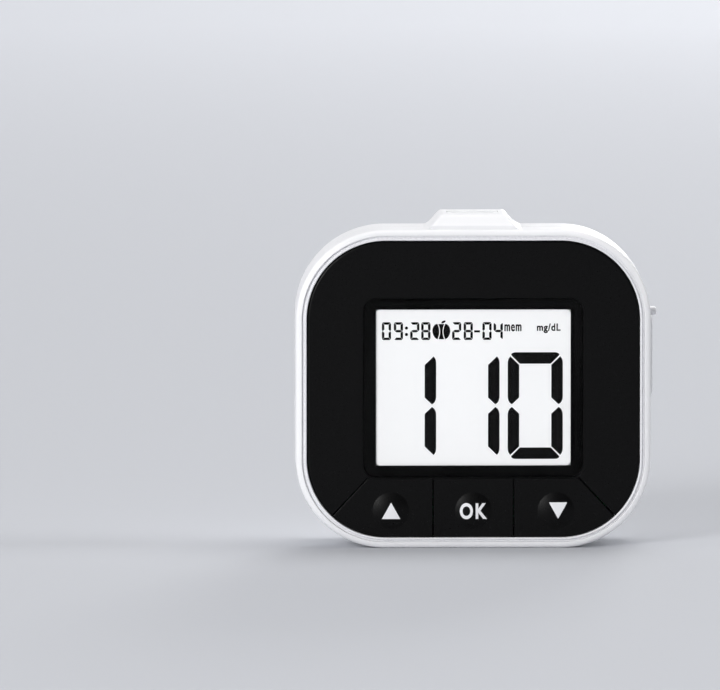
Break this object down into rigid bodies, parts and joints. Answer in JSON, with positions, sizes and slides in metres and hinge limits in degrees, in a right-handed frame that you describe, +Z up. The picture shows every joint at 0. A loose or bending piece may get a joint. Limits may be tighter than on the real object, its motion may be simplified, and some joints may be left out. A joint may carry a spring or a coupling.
{
  "type": "blood glucose meter",
  "caption": "Pocket blood glucose meter with a large display, up, OK and down keys, a test strip port on top, a covered data port and a battery door at the back.",
  "frame": {"origin": "on the bottom face, at the middle of the housing's width and depth, so the meter stands on Z = 0 on its lower edge", "axes": "+X to the user's right, +Y from the display to the battery door, +Z up the face to the strip port"},
  "size_m": [0.0708, 0.023, 0.0654],
  "materials": {
    "white_housing": "satin moulded ABS",
    "white_bezel": "smooth moulded ABS",
    "white_cover": "satin, a little soft",
    "black_panel": "fine matte moulded face",
    "clear_lens": "clear acrylic, polished",
    "black_mask": "screen print on the back of the lens",
    "ivory_nylon": "moulded nylon",
    "switch_body": "moulded, dull",
    "display_glass": "polished glass",
    "reflector": "pearl film",
    "natural_plastic": "moulded, dull",
    "dark_silicone": "layered conductive silicone",
    "circuit_board": "solder mask over glass fibre",
    "chip_black": "moulded epoxy",
    "component_tan": "ceramic and tinned ends",
    "gold_contact": "gold plated",
    "port_white": "smooth moulded ABS",
    "buzzer_black": "moulded, dull",
    "plated_steel": "tin or nickel plated",
    "cell_jacket": "printed sleeve, plain",
    "zinc_screw": "zinc plated",
    "label_paper": "plain label film"
  },
  "bodies": {
    "housing": {"front_housing": "white_housing", "rear_housing": "white_housing", "front_bezel": "white_bezel", "front_panel": "black_panel", "display_lens": "clear_lens", "display_mask": "black_mask", "tact_switches": "switch_body", "lcd_glass": "display_glass", "lcd_reflector": "reflector", "lcd_frame": "natural_plastic", "contact_strip_upper": "dark_silicone", "contact_strip_lower": "dark_silicone", "main_board": "circuit_board", "microcontroller": "chip_black", "board_components": "component_tan", "strip_connector": "ivory_nylon", "strip_contacts": "gold_contact", "port_insert": "port_white", "buzzer": "buzzer_black", "data_port": "plated_steel", "data_port_core": "buzzer_black", "battery_upper": "cell_jacket", "battery_lower": "cell_jacket", "battery_spring_upper": "plated_steel", "battery_spring_lower": "plated_steel", "battery_terminals": "plated_steel", "battery_bridge": "plated_steel", "housing_screws": "zinc_screw", "board_screws": "zinc_screw", "blank_label": "label_paper"},
    "up_key": {"up_key": "black_panel"},
    "ok_key": {"ok_key": "black_panel"},
    "down_key": {"down_key": "black_panel"},
    "up_switch_plunger": {"up_switch_plunger": "ivory_nylon"},
    "ok_switch_plunger": {"ok_switch_plunger": "ivory_nylon"},
    "down_switch_plunger": {"down_switch_plunger": "ivory_nylon"},
    "battery_door": {"battery_door": "white_housing"},
    "door_latch": {"door_latch": "white_housing"},
    "port_cover": {"port_cover": "white_cover"}
  },
  "joints": [
    {"name": "up_key_press", "type": "hinge", "parent": "housing", "child": "up_key", "pos_m": [-0.0162, -0.01, 0.0136], "axis": [1, 0, 0], "range_deg": [0, 4], "stiffness_Nm_per_rad": 0.1},
    {"name": "ok_key_press", "type": "hinge", "parent": "housing", "child": "ok_key", "pos_m": [0, -0.01, 0.0136], "axis": [1, 0, 0], "range_deg": [0, 4], "stiffness_Nm_per_rad": 0.1},
    {"name": "down_key_press", "type": "hinge", "parent": "housing", "child": "down_key", "pos_m": [0.0162, -0.01, 0.0136], "axis": [1, 0, 0], "range_deg": [0, 4], "stiffness_Nm_per_rad": 0.1},
    {"name": "up_plunger_travel", "type": "slide", "parent": "housing", "child": "up_switch_plunger", "axis": [0, 1, 0], "range_m": [0, 0.00055]},
    {"name": "ok_plunger_travel", "type": "slide", "parent": "housing", "child": "ok_switch_plunger", "axis": [0, 1, 0], "range_m": [0, 0.00055]},
    {"name": "down_plunger_travel", "type": "slide", "parent": "housing", "child": "down_switch_plunger", "axis": [0, 1, 0], "range_m": [0, 0.00055]},
    {"name": "battery_door_hinge", "type": "hinge", "parent": "housing", "child": "battery_door", "pos_m": [0, 0.0102, 0.0096], "axis": [-1, 0, 0], "range_deg": [0, 90]},
    {"name": "door_latch_slide", "type": "slide", "parent": "battery_door", "child": "door_latch", "axis": [0, 0, -1], "range_m": [0, 0.001], "stiffness_N_per_m": 800},
    {"name": "port_cover_hinge", "type": "hinge", "parent": "housing", "child": "port_cover", "pos_m": [0.0341, -0.00135, 0.03], "axis": [0, 1, 0], "range_deg": [0, 90]}
  ],
  "couplings": [
    {"joint": "up_plunger_travel", "follows": "up_key_press", "m_per_rad": 0.0074},
    {"joint": "ok_plunger_travel", "follows": "ok_key_press", "m_per_rad": 0.0074},
    {"joint": "down_plunger_travel", "follows": "down_key_press", "m_per_rad": 0.0074}
  ]
}
